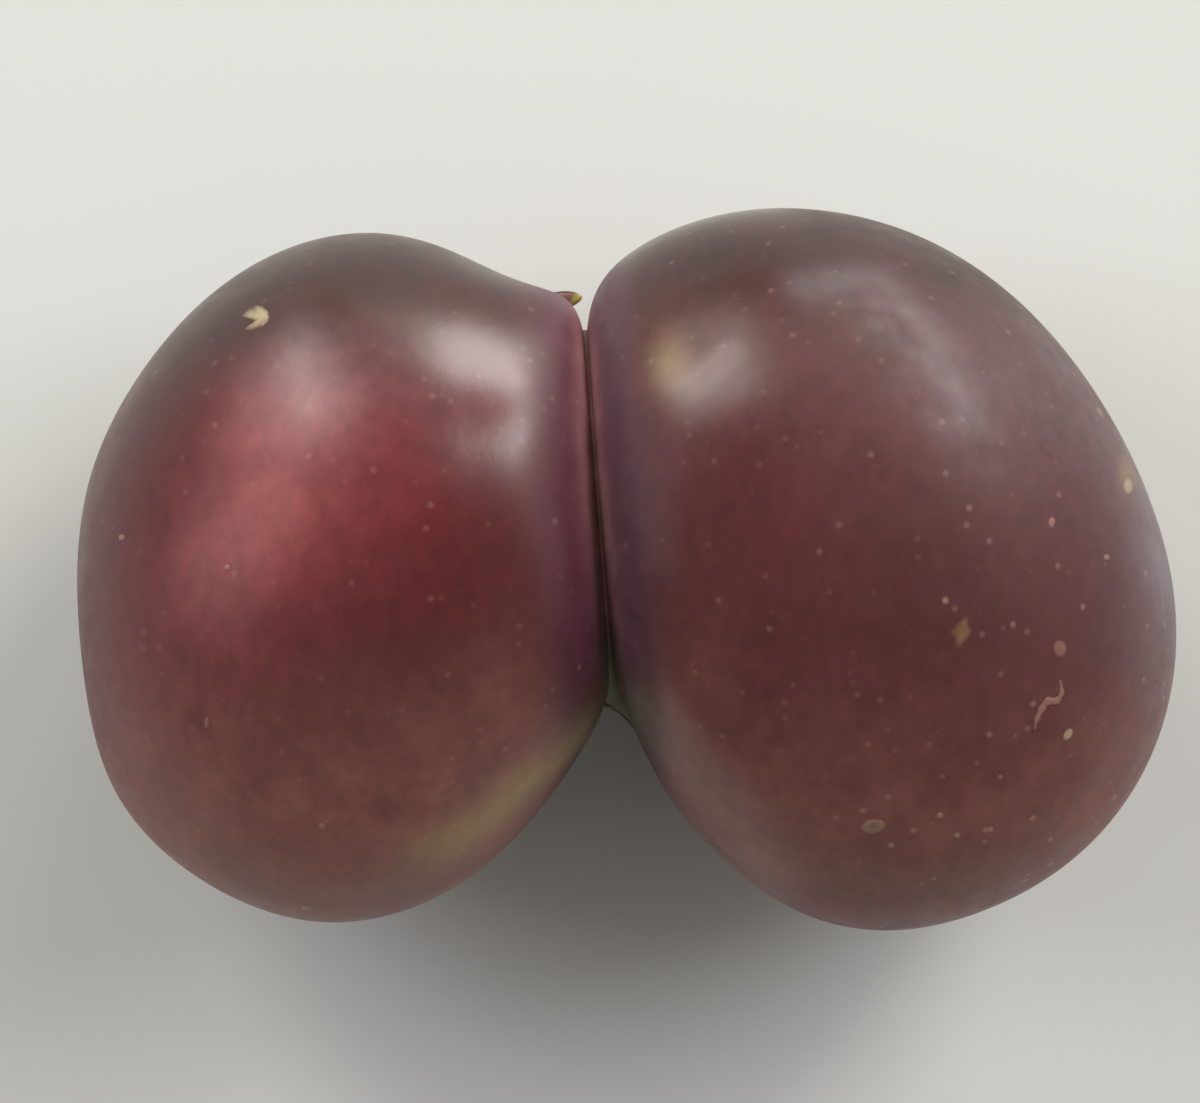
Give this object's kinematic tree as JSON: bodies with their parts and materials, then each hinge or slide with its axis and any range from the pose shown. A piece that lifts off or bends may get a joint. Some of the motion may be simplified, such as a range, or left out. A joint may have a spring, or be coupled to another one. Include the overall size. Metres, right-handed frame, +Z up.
{
  "type": "damson",
  "caption": "Ripe twin damson: two rounded plum lobes grown together along a flat contact, lying on its side on small flat spots.",
  "frame": {"origin": "middle of the fruit's footprint box, on the plane that it lies on", "axes": "+Z up, +X from the small lobe to the large lobe, +Y towards the stem end"},
  "size_m": [0.0474, 0.0312, 0.0238],
  "materials": {
    "damson_skin": "waxy, semi-gloss, with a thin dull bloom"
  },
  "bodies": {
    "root": {"damson": "damson_skin"}
  },
  "joints": []
}
